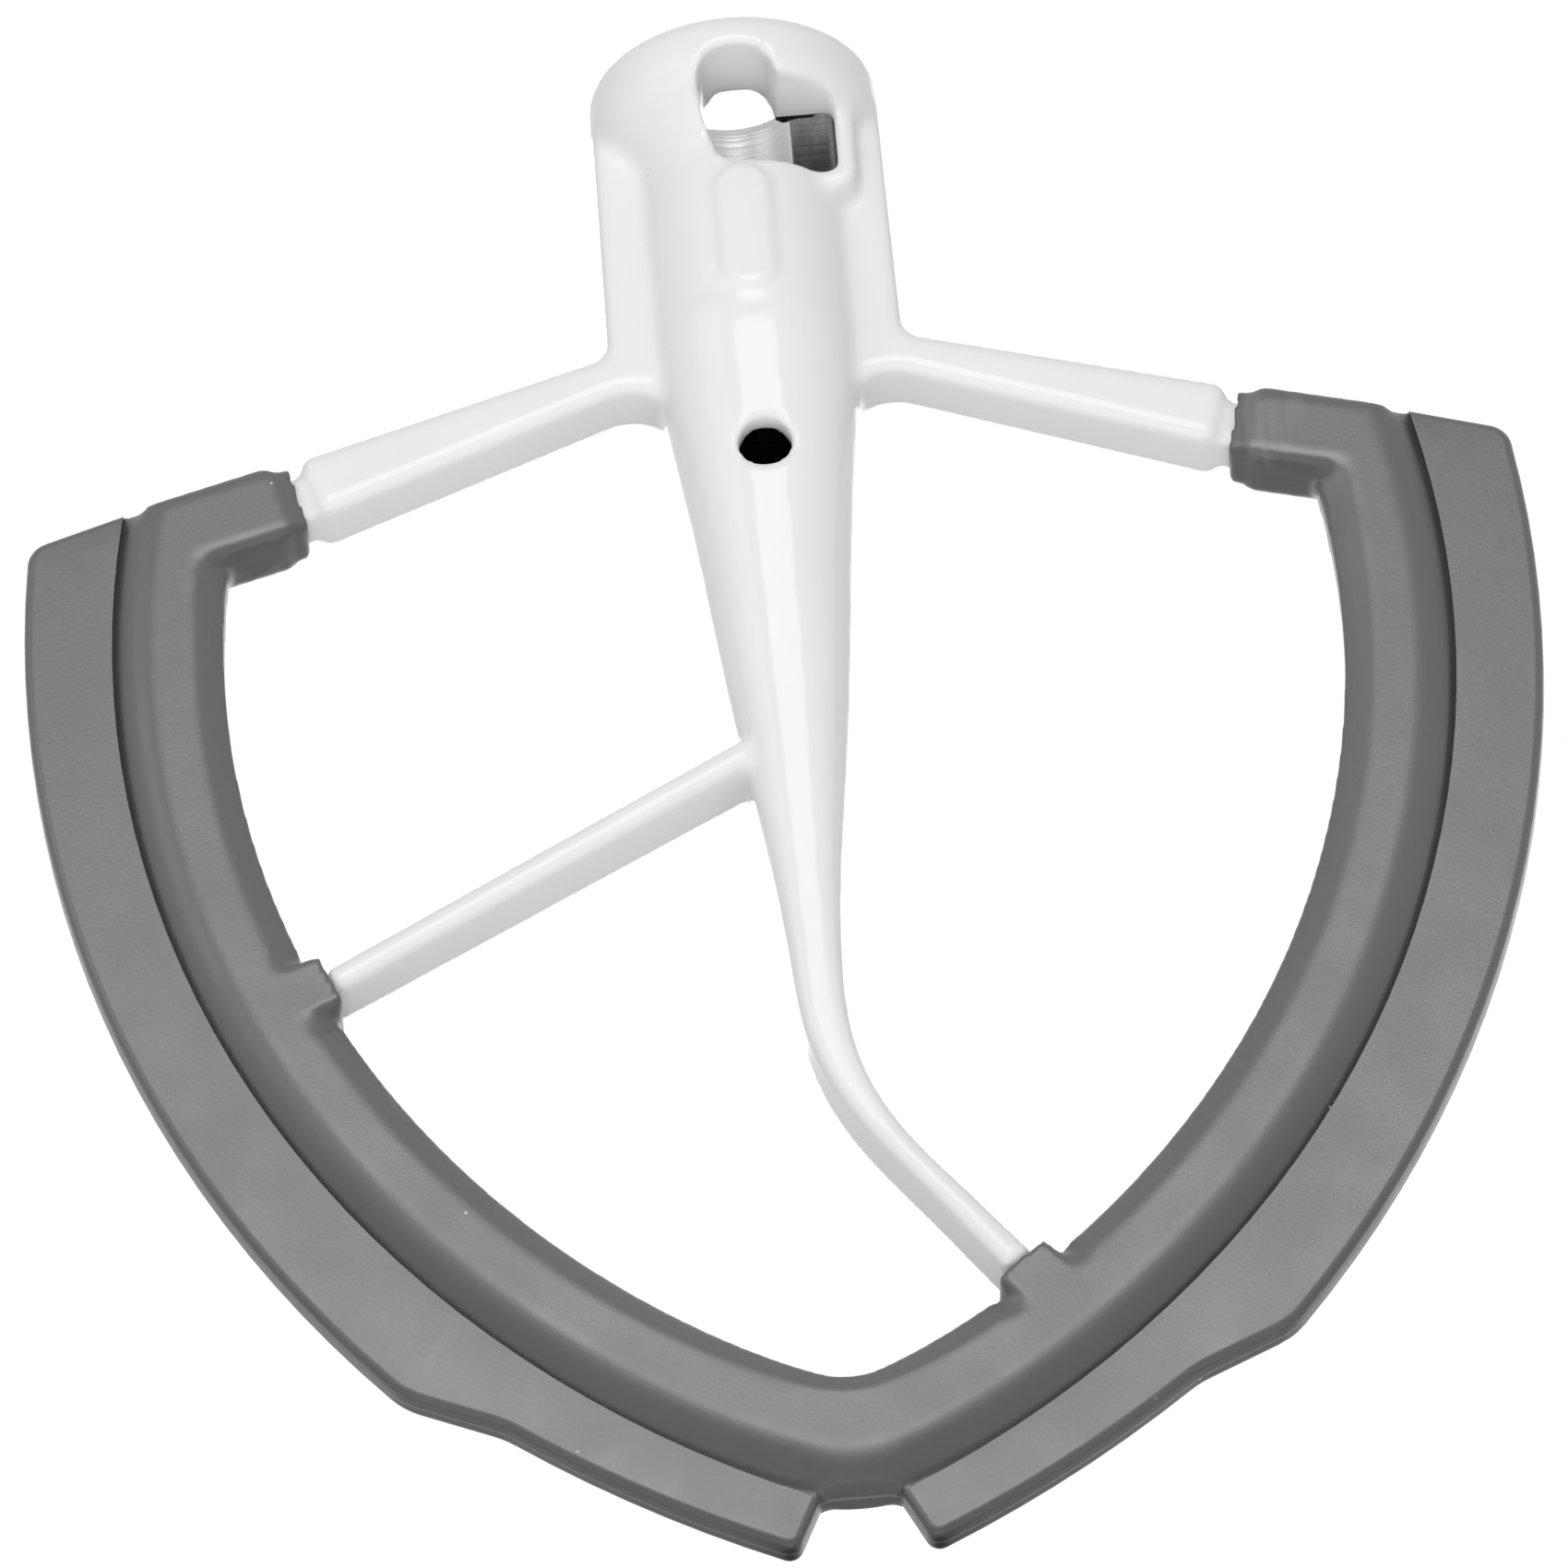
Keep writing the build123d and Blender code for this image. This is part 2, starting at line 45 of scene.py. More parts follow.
# Camera: long lens from the front and below
PHOTO_PX = 1700
PX_PER_MM = 11.05
SENSOR_MM = 36.0
CAMERA_DISTANCE = 6.5
CAMERA_AZIMUTH = -0.985
CAMERA_ELEVATION = -34.0
CAMERA_ROLL = 5.25
CAMERA_CLIP = (0.1, 50.0)
AIM = (-1.10 * MM, 0.0, -82.98 * MM)

# Bore and keyway pocket: bare metal, hardly softened
BORE_R = 6.35 * MM
BORE_FOOT_Z = -51.0 * MM
POCKET_RIGHT_X = 9.9 * MM
POCKET_FOOT_Z = -14.7 * MM
POCKET_HALF_Y = 5.6 * MM
BARE_EDGE = 0.12 * MM
# Painted shade deep in the bore: below this height the bare metal fades to near black
DEEP_SHADE_Z = -30.0 * MM
DEEP_SHADE_FADE = 4.0 * MM
BORE_MARGIN = 0.6 * MM
BORE_FOOT_MARGIN = 1.0 * MM
POCKET_MARGIN = 0.3 * MM
POCKET_FOOT_MARGIN = 0.4 * MM

# Pad on the front of the tube: softened less than the rest
PAD_REACH_X = 5.0 * MM
PAD_FOOT_Z = -35.0 * MM
PAD_WEIGHT = 0.15
LEAST_FIRST_WEIGHT = 0.3

# Coating and bare metal, with painted shade in the keyway pocket and deep in the bore
COAT_TONES = (0.775, 0.825)
COAT_SPECK_TONE = 0.35
COAT_ROUGHNESS = (0.08, 0.13)
COAT_SPECULAR = 0.22
RING_TONES = (0.34, 0.62)
# Milled metal of the keyway pocket, darkened far below the bore's metal as painted shade; the milling
# pattern itself is real
MILLED_PAINTED_SHADE_TONES = (0.06, 0.20)
# Near-black colour painted as the shade deep in the bore
DEEP_SHADE_TONE = 0.012
METAL_ROUGHNESS = (0.22, 0.38)
POCKET_FROM_BORE = (0.1 * MM, 0.2 * MM)

# Silicone
SILICONE_TONES = (0.056, 0.072)
FINE_TONE = 0.10
SCUFF_TONE = 0.17
DUST_TONE = 0.55
PIT_TONE = 0.06
PARTING_TONE = 0.15
PARTING_HALF_W = (0.08 * MM, 0.2 * MM)
PARTING_TOP_Z = -95.0 * MM
PARTING_FADE = 10.0 * MM
SILICONE_ROUGHNESS = (0.33, 0.39)
SILICONE_SPECULAR = 0.9

# Meshes
TOP_Z = 0.0
CASTING_VOXEL = 0.5 * MM
EDGE_VOXEL = 0.54 * MM
WELD = 0.001 * MM
SOFT_ROUNDS = 3
FILL_ROUNDS = 4
EVEN_ROUNDS = 2
EDGE_FIRST_ROUNDS = 3
EVEN_PULL = 0.5
EVEN_PUSH = 0.52
FILL_PUSH = 0.6

# Soft edge: circles that both limbs follow, and half thicknesses
ARC_Z = -69.2 * MM
INNER_CX = 40.6 * MM
INNER_R = 95.6 * MM
GROOVE_CX = 44.0 * MM
GROOVE_R = 110.0 * MM
VEE = 5.0 * MM
EDGE_HALF_T = 3.6 * MM
GROOVE_HALF_T = 1.0 * MM
NOTCH_HALF_T = 1.6 * MM
INNER_HALF_T = 1.7 * MM

# Soft edge: shoulders, and where they start and stop
OUTER_SLOPE_W = 4.4 * MM
OUTER_POWER = 2.2
INNER_SLOPE_W = 3.5 * MM
INNER_POWER = 1.6
NOTCH_X = (6.0 * MM, 2.6 * MM)
NOTCH_Z = (-155.0 * MM, -162.0 * MM)
LIMB_Z = (-56.0 * MM, -62.0 * MM)
CORNER_OUT = (6.0 * MM, 8.0 * MM)
CORNER_Z = (-46.0 * MM, -48.0 * MM)
BLOCK_PROUD = 0.1 * MM
BLOCK_NEAR = (6.2 * MM, 4.8 * MM)
BLOCK_OUT = (6.0 * MM, 4.5 * MM)
FACE_LEAN = 0.12
FACE_HALF_T = 0.6 * MM
FACE_GAP = 0.02 * MM

# Wiper: crisp faces over a sunk mesh
LIP_W = 0.9 * MM
LIP_START = 0.1 * MM
SINK = 0.4 * MM
CRISP_SLACK = 0.10 * MM
CRISP_ANGLE = 0.6

# Stage: each lamp's place, width and height, and watts; all lamps aim at one point
AMBIENT = 0.43
FLOOR_TONE = 0.86
FLOOR_REACH = 3.0
LAMP_AIM = (0.0, 0.0, -0.08)
LAMPS = {
    "key": ((0.0, -0.60, 0.14), (0.36, 0.25), 1.3),
    "front_fill": ((-0.1, -1.5, -0.1), (1.6, 1.2), 1.2),
    "low_front": ((0.0, -0.30, -0.75), (1.2, 0.6), 3.4),
    "left": ((-0.62, -0.55, 0.30), (0.45, 0.4), 0.6),
    "back": ((0.2, 1.3, 0.5), (1.2, 1.2), 4.0),
}


# Node helpers


def grey(value):
    return (value, value, value, 1.0)


class Graph:
    """Short names for adding and joining the shader nodes of a material or a world."""

    def __init__(self, owner):
        owner.use_nodes = True
        self.tree = owner.node_tree
        self.tree.nodes.clear()

    def node(self, kind, **settings):
        n = self.tree.nodes.new(kind)
        for key, value in settings.items():
            setattr(n, key, value)
        return n

    def link(self, a, b):
        self.tree.links.new(a, b)

    def put(self, socket, value):
        if isinstance(value, bpy.types.NodeSocket):
            self.link(value, socket)
        else:
            socket.default_value = value

    def position(self):
        return self.node("ShaderNodeTexCoord").outputs["Object"]

    def split(self, vector):
        n = self.node("ShaderNodeSeparateXYZ")
        self.link(vector, n.inputs[0])
        return n.outputs[0], n.outputs[1], n.outputs[2]

    def math(self, operation, a, b=0.0):
        n = self.node("ShaderNodeMath", operation=operation)
        self.put(n.inputs[0], a)
        self.put(n.inputs[1], b)
        return n.outputs[0]

    def product(self, a, b):
        return self.math("MULTIPLY", a, b)

    def radius(self, x, y):
        return self.math("SQRT", self.math("ADD", self.product(x, x), self.product(y, y)))

    def ramp(self, value, low, high, out_low=0.0, out_high=1.0):
        n = self.node("ShaderNodeMapRange", clamp=True, interpolation_type="SMOOTHSTEP")
        self.put(n.inputs["Value"], value)
        n.inputs["From Min"].default_value = low
        n.inputs["From Max"].default_value = high
        n.inputs["To Min"].default_value = out_low
        n.inputs["To Max"].default_value = out_high
        return n.outputs["Result"]

    def fall(self, value, low, high):
        return self.ramp(value, low, high, 1.0, 0.0)

    def spread(self, noise, span):
        """Values from one end of the span to the other, as the noise goes."""
        return self.ramp(noise, 0.3, 0.7, span[0], span[1])

    def noise(self, vector, scale, detail=2.0, rough=0.5):
        n = self.node("ShaderNodeTexNoise")
        self.put(n.inputs["Vector"], vector)
        n.inputs["Scale"].default_value = scale
        n.inputs["Detail"].default_value = detail
        n.inputs["Roughness"].default_value = rough
        return n.outputs["Fac"]

    def stretch(self, vector, scale, turn=(0.0, 0.0, 0.0)):
        n = self.node("ShaderNodeMapping")
        self.put(n.inputs["Vector"], vector)
        n.inputs["Scale"].default_value = scale
        n.inputs["Rotation"].default_value = turn
        return n.outputs["Vector"]

    def dots(self, vector, scale, size):
        """1 inside small round dots, 0 between them."""
        n = self.node("ShaderNodeTexVoronoi", feature="F1")
        self.put(n.inputs["Vector"], vector)
        n.inputs["Scale"].default_value = scale
        return self.fall(n.outputs["Distance"], size * 0.6, size)

    def mix_color(self, fac, a, b):
        n = self.node("ShaderNodeMix", data_type="RGBA")
        self.put(n.inputs[0], fac)
        self.put(n.inputs[6], a)
        self.put(n.inputs[7], b)
        return n.outputs[2]

    def between(self, fac, tones):
        return self.mix_color(fac, grey(tones[0]), grey(tones[1]))

    def tint(self, color, where, amount, tone):
        """Lays some of a grey over the colour, in the places given."""
        return self.mix_color(self.product(where, amount), color, grey(tone))

    def bump(self, height, strength, distance, normal=None):
        n = self.node("ShaderNodeBump")
        n.inputs["Strength"].default_value = strength
        n.inputs["Distance"].default_value = distance
        self.put(n.inputs["Height"], height)
        if normal is not None:
            self.link(normal, n.inputs["Normal"])
        return n.outputs["Normal"]

    def surface(self, color, roughness, normal):
        n = self.node("ShaderNodeBsdfPrincipled")
        self.link(color, n.inputs["Base Color"])
        self.link(roughness, n.inputs["Roughness"])
        self.link(normal, n.inputs["Normal"])
        return n

    def background(self, strength):
        n = self.node("ShaderNodeBackground")
        n.inputs["Color"].default_value = grey(1.0)
        n.inputs["Strength"].default_value = strength
        return n

    def mix_shader(self, fac, first, second):
        n = self.node("ShaderNodeMixShader")
        self.link(fac, n.inputs[0])
        self.link(first.outputs[0], n.inputs[1])
        self.link(second.outputs[0], n.inputs[2])
        return n

    def output(self, shader, kind="ShaderNodeOutputMaterial"):
        self.link(shader.outputs[0], self.node(kind).inputs["Surface"])


# Materials


def coating_material():
    mat = bpy.data.materials.new("white_coating")
    g = Graph(mat)
    pos = g.position()
    g.output(g.mix_shader(bare_mask(g, pos), coat_surface(g, pos), metal_surface(g, pos)))
    return mat


def coat_surface(g, pos):
    """Pale coating with soft unevenness and a few dark specks."""
    color = g.between(g.noise(pos, 60.0, detail=3.0), COAT_TONES)
    patches = g.ramp(g.noise(pos, 45.0), 0.52, 0.6)
    specks = g.product(g.dots(pos, 230.0, size=0.045), patches)
    color = g.tint(color, specks, 0.35, COAT_SPECK_TONE)
    roughness = g.spread(g.noise(pos, 150.0), COAT_ROUGHNESS)
    waves = g.bump(g.noise(pos, 420.0), strength=0.25, distance=0.06 * MM)
    swell = g.bump(g.noise(pos, 90.0, detail=1.0), 0.3, 0.2 * MM, waves)
    coat = g.surface(color, roughness, swell)
    coat.inputs["Specular IOR Level"].default_value = COAT_SPECULAR
    return coat


def metal_surface(g, pos):
    """Bare metal: turning rings in the bore, coarser milling in the pocket darkened with painted shade,
    and near-black painted shade deep down in the bore.
    """
    x, y, z = g.split(pos)
    rings = g.noise(g.stretch(pos, (40.0, 40.0, 2600.0)), 1.0, detail=3.0, rough=0.6)
    milling = g.stretch(pos, (900.0, 900.0, 260.0), turn=(0.0, 0.5, 0.0))
    milled = g.noise(milling, 1.0, detail=3.0, rough=0.7)
    off_bore = g.math("ABSOLUTE", g.math("SUBTRACT", g.radius(x, y), BORE_R))
    in_pocket = g.ramp(off_bore, *POCKET_FROM_BORE)
    # Painted shade: the pocket's milled metal takes much darker tones than the bore's turned metal
    color = g.mix_color(in_pocket, g.between(rings, RING_TONES), g.between(milled, MILLED_PAINTED_SHADE_TONES))
    # Painted shade: the bore's wall fades to near black below the given height
    deep_painted_shade = g.fall(z, DEEP_SHADE_Z - DEEP_SHADE_FADE, DEEP_SHADE_Z)
    color = g.mix_color(deep_painted_shade, color, grey(DEEP_SHADE_TONE))
    roughness = g.spread(rings, METAL_ROUGHNESS)
    metal = g.surface(color, roughness, g.bump(rings, strength=0.5, distance=0.08 * MM))
    metal.inputs["Metallic"].default_value = 1.0
    return metal


def bare_mask(g, pos):
    """1 on the wall of the bore and in the keyway pocket, 0 on the coating."""
    x, y, z = g.split(pos)
    edge = BARE_EDGE
    bore = g.fall(g.radius(x, y), BORE_R + edge, BORE_R + 2 * edge)
    bore = g.product(bore, g.ramp(z, BORE_FOOT_Z - edge, BORE_FOOT_Z))
    right = g.fall(x, POCKET_RIGHT_X + edge, POCKET_RIGHT_X + 2 * edge)
    in_x = g.product(g.ramp(x, 0.0, edge), right)
    front = g.ramp(y, -POCKET_HALF_Y, -POCKET_HALF_Y + edge)
    in_y = g.product(front, g.fall(y, POCKET_HALF_Y - edge, POCKET_HALF_Y))
    in_z = g.ramp(z, POCKET_FOOT_Z - 2 * edge, POCKET_FOOT_Z - edge)
    pocket = g.product(g.product(in_x, in_y), in_z)
    return g.math("MAXIMUM", bore, pocket)


def silicone_material():
    mat = bpy.data.materials.new("grey_silicone")
    g = Graph(mat)
    pos = g.position()
    parting = parting_line(g, pos)
    color = g.tint(worn_grey(g, pos), parting, 0.8, PARTING_TONE)
    roughness = g.spread(g.noise(pos, 120.0, detail=3.0), SILICONE_ROUGHNESS)
    grain = g.bump(g.noise(pos, 2600.0), strength=0.35, distance=0.04 * MM)
    ridge = g.bump(parting, 0.6, 0.1 * MM, grain)
    swell = g.bump(g.noise(pos, 160.0), 0.25, 0.12 * MM, ridge)
    silicone = g.surface(color, roughness, swell)
    silicone.inputs["Specular IOR Level"].default_value = SILICONE_SPECULAR
    g.output(silicone)
    return mat


def worn_grey(g, pos):
    """Uneven grey with long pale scuffs, pale dust and dark pits."""
    color = g.between(g.noise(pos, 35.0, detail=4.0, rough=0.6), SILICONE_TONES)
    color = g.tint(color, g.noise(pos, 900.0), 0.2, FINE_TONE)
    streaks = g.stretch(pos, (260.0, 260.0, 26.0), turn=(0.0, 0.6, 0.0))
    streaks = g.ramp(g.noise(streaks, 1.0, detail=3.0, rough=0.65), 0.55, 0.75)
    scuffs = g.product(streaks, g.ramp(g.noise(pos, 18.0), 0.5, 0.65))
    color = g.tint(color, scuffs, 0.6, SCUFF_TONE)
    dust = g.product(g.dots(pos, 170.0, size=0.035), g.ramp(g.noise(pos, 40.0), 0.5, 0.58))
    color = g.tint(color, dust, 0.7, DUST_TONE)
    pits = g.dots(g.stretch(pos, (1.0, 1.1, 0.9)), 210.0, size=0.04)
    pits = g.product(pits, g.ramp(g.noise(pos, 55.0), 0.55, 0.62))
    return g.tint(color, pits, 0.6, PIT_TONE)


def parting_line(g, pos):
    """1 on the mould's parting line, a thin pale ridge along the lower edges."""
    _, y, z = g.split(pos)
    middle = g.fall(g.math("ABSOLUTE", y), *PARTING_HALF_W)
    return g.product(middle, g.fall(z, PARTING_TOP_Z - PARTING_FADE, PARTING_TOP_Z))


def floor_material():
    """Pale floor with a see-through underside, so the low camera looks past it."""
    mat = bpy.data.materials.new("pale_floor")
    g = Graph(mat)
    pale = g.node("ShaderNodeBsdfDiffuse")
    pale.inputs["Color"].default_value = grey(FLOOR_TONE)
    below = g.node("ShaderNodeNewGeometry").outputs["Backfacing"]
    g.output(g.mix_shader(below, pale, g.node("ShaderNodeBsdfTransparent")))
    return mat


# Pieces


def welded_copy(node, name):
    """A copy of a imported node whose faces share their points."""
    copy = bpy.data.objects.new(name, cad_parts[node].data.copy())
    bpy.context.scene.collection.objects.link(copy)
    mesh = bmesh.new()
    mesh.from_mesh(copy.data)
    bmesh.ops.remove_doubles(mesh, verts=mesh.verts, dist=WELD)
    mesh.to_mesh(copy.data)
    mesh.free()
    return copy


def even_mesh(piece, voxel):
    """Turns a copy into a fine even mesh, to be softened."""
    remesh = piece.modifiers.new("even", "REMESH")
    remesh.mode = "VOXEL"
    remesh.voxel_size = voxel
    bpy.context.view_layer.update()
    graph = bpy.context.evaluated_depsgraph_get()
    mesh = bpy.data.meshes.new_from_object(piece.evaluated_get(graph))
    piece.modifiers.clear()
    piece.data = mesh


def mesh_points(mesh):
    points = np.empty(len(mesh.vertices) * 3)
    mesh.vertices.foreach_get("co", points)
    return points.reshape(-1, 3)


def mesh_normals(mesh):
    normals = np.empty(len(mesh.vertices) * 3)
    mesh.vertex_normals.foreach_get("vector", normals)
    return normals.reshape(-1, 3)


def set_points(mesh, points):
    mesh.vertices.foreach_set("co", points.ravel())
    mesh.update()


class Smoother:
    """Moves each point of a mesh towards the middle of its neighbours."""

    def __init__(self, mesh):
        ends = np.empty(len(mesh.edges) * 2, dtype=np.int64)
        mesh.edges.foreach_get("vertices", ends)
        a, b = ends[0::2], ends[1::2]
        self.start = np.concatenate([a, b])
        self.end = np.concatenate([b, a])
        self.count = len(mesh.vertices)
        self.degree = np.bincount(self.start, minlength=self.count)[:, None]

    def pull(self, points):
        sums = [np.bincount(self.start, points[self.end, k], self.count) for k in range(3)]
        return np.stack(sums, axis=1) / self.degree - points

    def even(self, points, rounds, weight):
        """Rounds off edges of both kinds without shrinking the form."""
        for _ in range(rounds):
            points = points + EVEN_PULL * weight * self.pull(points)
            points = points - EVEN_PUSH * weight * self.pull(points)
        return points

    def fill(self, points, normals, weight):
        """Fills only the inner corners, as a casting's or moulding's blends do."""
        for _ in range(FILL_ROUNDS):
            step = self.pull(points)
            outward = np.sum(step * normals, axis=1, keepdims=True)
            points = points + FILL_PUSH * weight * np.maximum(outward, 0.0) * normals
        return points

    def soften(self, mesh, points, weight):
        """Blends the inner corners and rounds the outer ones, in turns."""
        for _ in range(SOFT_ROUNDS):
            set_points(mesh, points)
            points = self.fill(points, mesh_normals(mesh), weight)
            points = self.even(points, EVEN_ROUNDS, weight)
        return points


def dress(obj, mat):
    obj.data.materials.clear()
    obj.data.materials.append(mat)
    obj.data.polygons.foreach_set("use_smooth", [True] * len(obj.data.polygons))


def casting_weight(points):
    """How much each point is softened: 0 on the machined bore and pocket, small on the pad."""
    x, y, z = points.T
    bore = (np.hypot(x, y) < BORE_R + BORE_MARGIN) & (z > BORE_FOOT_Z - BORE_FOOT_MARGIN)
    pocket = (x > 0) & (x < POCKET_RIGHT_X + POCKET_MARGIN)
    pocket &= (y > -POCKET_HALF_Y) & (y < POCKET_HALF_Y + POCKET_MARGIN)
    pocket &= z > POCKET_FOOT_Z - POCKET_FOOT_MARGIN
    pad = (y < 0) & (np.abs(x) < PAD_REACH_X) & (z > PAD_FOOT_Z)
    return np.where(bore | pocket, 0.0, np.where(pad, PAD_WEIGHT, 1.0))[:, None]


def softened_casting():
    """The casting with the blends of a coated die casting; the machined bore is hardly softened."""
    piece = welded_copy("cast_frame", "coated_casting")
    even_mesh(piece, CASTING_VOXEL)
    mesh = piece.data
    points = mesh_points(mesh)
    weight = casting_weight(points)
    smoother = Smoother(mesh)
    points = smoother.even(points, EVEN_ROUNDS, np.maximum(weight, LEAST_FIRST_WEIGHT))
    points = smoother.soften(mesh, points, weight)
    points[:, 2] = np.minimum(points[:, 2], TOP_Z)
    set_points(mesh, points)
    return piece


def smooth_step(value, span):
    """0 at the first end of the span, 1 at the second, eased at both."""
    start, end = span
    t = np.clip((value - start) / (end - start), 0.0, 1.0)
    return t * t * (3.0 - 2.0 * t)


def slope(t, power):
    """A slope from 0 that eases into 1 at its top."""
    return 1.0 - (1.0 - np.clip(t, 0.0, 1.0)) ** power


def ring_distance(points, centre_x, radius, vee=0.0):
    """How far each point lies outside a limb's circle; a vee above 0 rounds the corner between limbs."""
    x = np.hypot(points[:, 0], vee) + centre_x
    return np.hypot(x, points[:, 2] - ARC_Z) - radius


def block_centres(points):
    """The middles of the two proud entry blocks, one on each side."""
    proud = np.abs(points[:, 1]) > EDGE_HALF_T + BLOCK_PROUD
    left = points[proud & (points[:, 0] < 0)]
    right = points[proud & (points[:, 0] > 0)]
    return left.mean(axis=0), right.mean(axis=0)


def shoulder_share(points, outside, blocks):
    """1 where the limbs take their shoulders, 0 on the sleeves and the entry blocks."""
    z = points[:, 2]
    share = smooth_step(z, LIMB_Z)
    share = np.maximum(share, smooth_step(outside, CORNER_OUT) * smooth_step(z, CORNER_Z))
    for centre in blocks:
        distance = np.hypot(points[:, 0] - centre[0], z - centre[2])
        share = share * (1.0 - smooth_step(distance, BLOCK_NEAR) * smooth_step(outside, BLOCK_OUT))
    return share


def shape_body(points, normals, blocks):
    """Gives the limbs their rounded shoulders on both sides of the flat band."""
    inside = -ring_distance(points, GROOVE_CX, GROOVE_R, VEE)
    outside = ring_distance(points, INNER_CX, INNER_R, VEE)
    notch = smooth_step(np.abs(points[:, 0]), NOTCH_X) * smooth_step(points[:, 2], NOTCH_Z)
    foot = GROOVE_HALF_T + (NOTCH_HALF_T - GROOVE_HALF_T) * notch
    outer = foot + (EDGE_HALF_T - foot) * slope(inside / OUTER_SLOPE_W, OUTER_POWER)
    inner = INNER_HALF_T + (EDGE_HALF_T - INNER_HALF_T) * slope(outside / INNER_SLOPE_W, INNER_POWER)
    height = np.minimum(outer, inner)

    side, now = np.sign(points[:, 1]), np.abs(points[:, 1])
    face = (normals[:, 1] * side > FACE_LEAN) & (now > FACE_HALF_T) & (outside > 0.0)
    face &= ring_distance(points, GROOVE_CX, GROOVE_R) < -FACE_GAP
    share = np.where(face, shoulder_share(points, outside, blocks), 0.0)
    points[:, 1] = side * (now + (height - now) * share)


def sink_wiper(points, normals):
    """Draws the soft mesh in under the crisp wiper, which is laid over it."""
    out = ring_distance(points, GROOVE_CX, GROOVE_R)
    side, now = np.sign(points[:, 1]), np.abs(points[:, 1])
    lip = (out > -FACE_GAP) & (out < LIP_W) & (now > FACE_HALF_T)
    points[:, 1] = np.where(lip, side * np.minimum(now, GROOVE_HALF_T), points[:, 1])
    inset = SINK * smooth_step(out, (LIP_START, LIP_W))
    return points - normals * inset[:, None]


def crisp_wiper():
    """The wiper with its groove wall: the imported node's faces outside the groove circle."""
    piece = welded_copy("soft_edge", "wiper_lip")
    mesh = bmesh.new()
    mesh.from_mesh(piece.data)
    gone = []
    for face in mesh.faces:
        corners = np.array([v.co for v in face.verts])
        if ring_distance(corners, GROOVE_CX, GROOVE_R).min() < -CRISP_SLACK:
            gone.append(face)
    bmesh.ops.delete(mesh, geom=gone, context="FACES")
    for edge in mesh.edges:
        if len(edge.link_faces) == 2 and edge.calc_face_angle(0.0) > CRISP_ANGLE:
            edge.smooth = False
    mesh.to_mesh(piece.data)
    mesh.free()
    return piece


def joined(first, second):
    """Adds the second object's mesh to the first's."""
    mesh = bmesh.new()
    mesh.from_mesh(first.data)
    mesh.from_mesh(second.data)
    mesh.to_mesh(first.data)
    mesh.free()
    bpy.data.objects.remove(second)
    return first


def softened_edge():
    """The soft edge with moulded shoulders; the lip of its groove stays crisp."""
    piece = welded_copy("soft_edge", "soft_edge_skin")
    even_mesh(piece, EDGE_VOXEL)
    mesh = piece.data
    points = mesh_points(mesh)
    smoother = Smoother(mesh)
    blocks = block_centres(points)
    points[:, 1] = np.clip(points[:, 1], -EDGE_HALF_T, EDGE_HALF_T)
    points = smoother.even(points, EDGE_FIRST_ROUNDS, 1.0)
    points = smoother.soften(mesh, points, 1.0)
    set_points(mesh, points)
    shape_body(points, mesh_normals(mesh), blocks)
    set_points(mesh, points)
    points = sink_wiper(points, mesh_normals(mesh))
    points = smoother.even(points, 1, 1.0)
    set_points(mesh, points)
    return joined(piece, crisp_wiper())


def show_instead(piece, node, mat):
    dress(piece, mat)
    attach(piece, "root")
    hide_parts(node)


# Stage


def make_floor(low_z):
    r = FLOOR_REACH
    verts = [(-r, -r, low_z), (r, -r, low_z), (r, r, low_z), (-r, r, low_z)]
    mesh = bpy.data.meshes.new("floor")
    mesh.from_pydata(verts, [], [(0, 1, 2, 3)])
    floor = bpy.data.objects.new("floor", mesh)
    bpy.context.scene.collection.objects.link(floor)
    floor.data.materials.append(floor_material())
    floor.visible_shadow = False


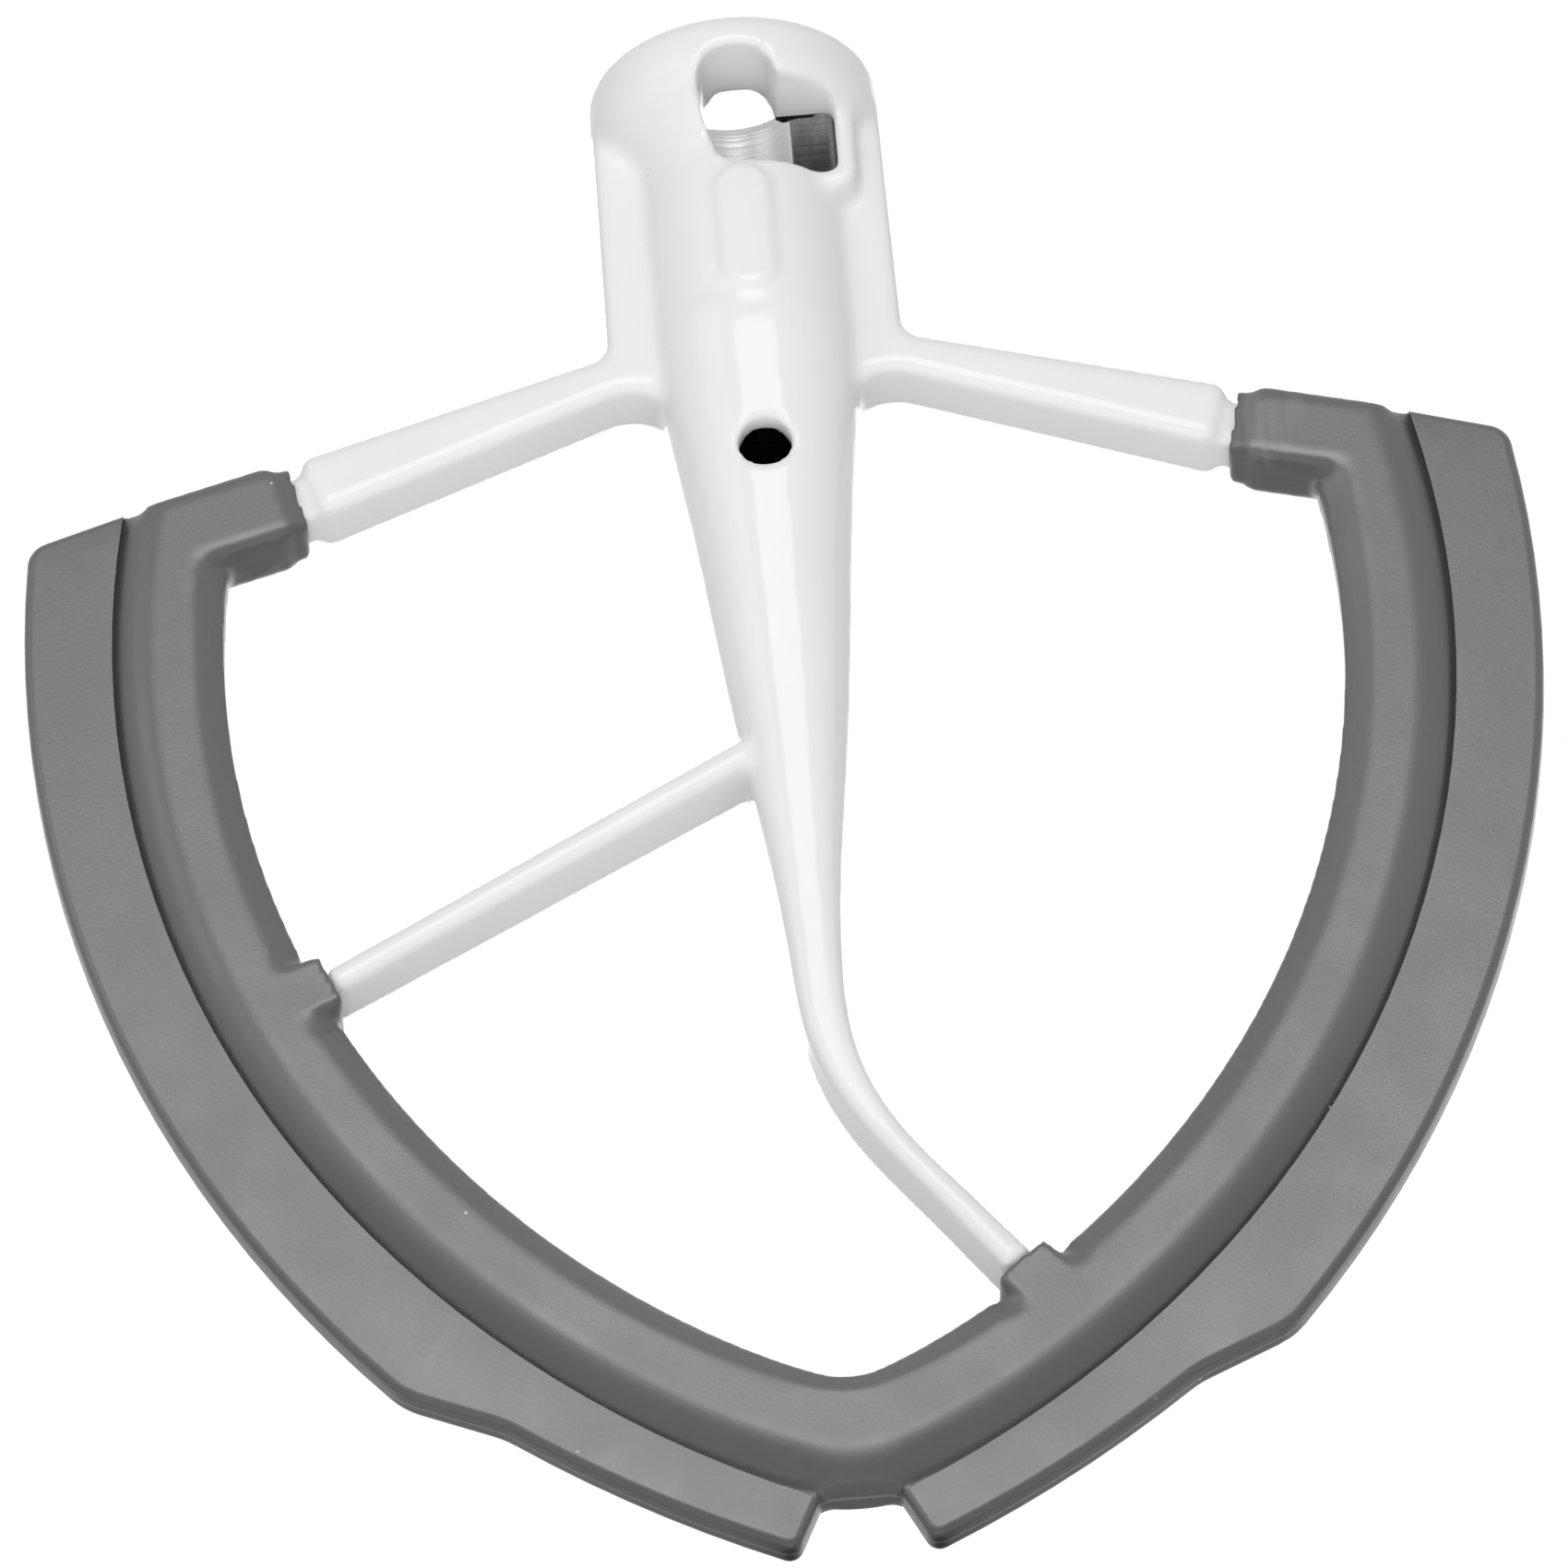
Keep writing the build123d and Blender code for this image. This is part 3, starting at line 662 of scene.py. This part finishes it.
def make_world():
    """White where it is seen, reflected or seen through; softer as light."""
    world = bpy.data.worlds.new("studio")
    g = Graph(world)
    path = g.node("ShaderNodeLightPath").outputs
    seen = g.math("MAXIMUM", path["Is Camera Ray"], path["Is Glossy Ray"])
    seen = g.math("MAXIMUM", seen, path["Is Transmission Ray"])
    studio = g.mix_shader(seen, g.background(AMBIENT), g.background(1.0))
    g.output(studio, "ShaderNodeOutputWorld")
    bpy.context.scene.world = world


def make_lamps():
    for name, (place, size, watts) in LAMPS.items():
        data = bpy.data.lights.new(name, "AREA")
        data.shape = "RECTANGLE"
        data.size, data.size_y = size
        data.energy = watts
        lamp = bpy.data.objects.new(name, data)
        lamp.location = place
        toward = Vector(LAMP_AIM) - Vector(place)
        lamp.rotation_euler = toward.to_track_quat("-Z", "Y").to_euler()
        bpy.context.scene.collection.objects.link(lamp)


def make_camera():
    azimuth, elevation = math.radians(CAMERA_AZIMUTH), math.radians(CAMERA_ELEVATION)
    level = math.cos(elevation)
    back = Vector((math.sin(azimuth) * level, -math.cos(azimuth) * level, math.sin(elevation)))
    data = bpy.data.cameras.new("camera")
    data.sensor_width = SENSOR_MM
    data.lens = SENSOR_MM * CAMERA_DISTANCE / (PHOTO_PX / PX_PER_MM * MM)
    data.clip_start, data.clip_end = CAMERA_CLIP
    camera = bpy.data.objects.new("camera", data)
    turn = (-back).to_track_quat("-Z", "Y").to_matrix().to_4x4()
    roll = Matrix.Rotation(math.radians(-CAMERA_ROLL), 4, "Z")
    camera.matrix_world = Matrix.Translation(Vector(AIM) + back * CAMERA_DISTANCE) @ turn @ roll
    bpy.context.scene.collection.objects.link(camera)
    bpy.context.scene.camera = camera


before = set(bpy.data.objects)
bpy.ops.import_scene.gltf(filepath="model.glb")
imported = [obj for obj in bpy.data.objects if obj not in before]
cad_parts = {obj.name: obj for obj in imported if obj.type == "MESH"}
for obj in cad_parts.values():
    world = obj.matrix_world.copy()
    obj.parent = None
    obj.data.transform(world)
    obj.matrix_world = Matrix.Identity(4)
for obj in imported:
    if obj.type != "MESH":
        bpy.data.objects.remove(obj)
cad_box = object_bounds()

show_instead(softened_casting(), "cast_frame", coating_material())
show_instead(softened_edge(), "soft_edge", silicone_material())

make_floor(cad_box[0].z)
make_world()
make_lamps()
make_camera()
bpy.context.scene.view_settings.view_transform = "Standard"
